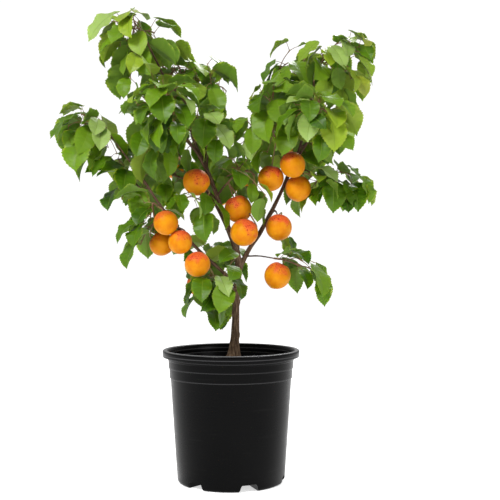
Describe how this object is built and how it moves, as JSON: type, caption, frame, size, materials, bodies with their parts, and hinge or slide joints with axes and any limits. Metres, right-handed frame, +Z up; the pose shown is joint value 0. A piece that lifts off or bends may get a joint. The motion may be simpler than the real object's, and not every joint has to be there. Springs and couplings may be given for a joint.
{
  "type": "potted apricot tree",
  "caption": "Young apricot tree in fruit: short trunk, two spreading leaders with drooping leaf masses and ripe fruit, in a ribbed nursery pot filled with potting mix.",
  "frame": {"origin": "centre of the pot's flat underside, where it stands on the ground", "axes": "+Z up the trunk; -Y is the side the picture shows; +X to the right of that view"},
  "size_m": [0.6717, 0.4382, 0.9727],
  "materials": {
    "pot": "moulded, satin",
    "potting_mix": "loose, damp",
    "bark": "matte bark",
    "foliage": "soft sheen"
  },
  "bodies": {
    "root": {"pot": "pot", "potting_mix": "potting_mix", "trunk": "bark", "left_leader": "bark", "right_leader": "bark", "middle_leader": "bark", "lower_left_bough": "bark", "upper_left_limb": "bark", "left_inner_limb": "bark", "left_outer_limb": "bark", "left_side_limb": "bark", "left_middle_limb": "bark", "fruiting_limb_left": "bark", "left_front_spur": "bark", "front_left_limb": "bark", "left_low_spur": "bark", "lowest_limb": "bark", "centre_spur": "bark", "right_inner_limb": "bark", "right_outer_limb": "bark", "right_side_limb": "bark", "fruiting_spur_right": "bark", "low_fruiting_spur": "bark", "lower_right_limb": "bark", "rear_left_bough": "bark", "rear_middle_limb": "bark", "rear_right_bough": "bark", "rear_low_limb": "bark", "front_right_limb": "bark", "foliage_top_left": "foliage", "foliage_upper_left": "foliage", "foliage_left_inner": "foliage", "foliage_far_left": "foliage", "foliage_left_side": "foliage", "foliage_left_outer": "foliage", "foliage_left_middle": "foliage", "foliage_left_centre": "foliage", "foliage_front_left": "foliage", "foliage_lower_left": "foliage", "foliage_left_low": "foliage", "foliage_lowest": "foliage", "foliage_centre": "foliage", "foliage_upper_middle": "foliage", "foliage_right_inner": "foliage", "foliage_top_right": "foliage", "foliage_right_outer": "foliage", "foliage_front_right": "foliage", "foliage_right_side": "foliage", "foliage_fruiting_right": "foliage", "foliage_low_fruit": "foliage", "foliage_lower_right": "foliage", "foliage_rear_left": "foliage", "foliage_rear_middle": "foliage", "foliage_rear_right": "foliage", "foliage_rear_low": "foliage"}
  },
  "joints": []
}
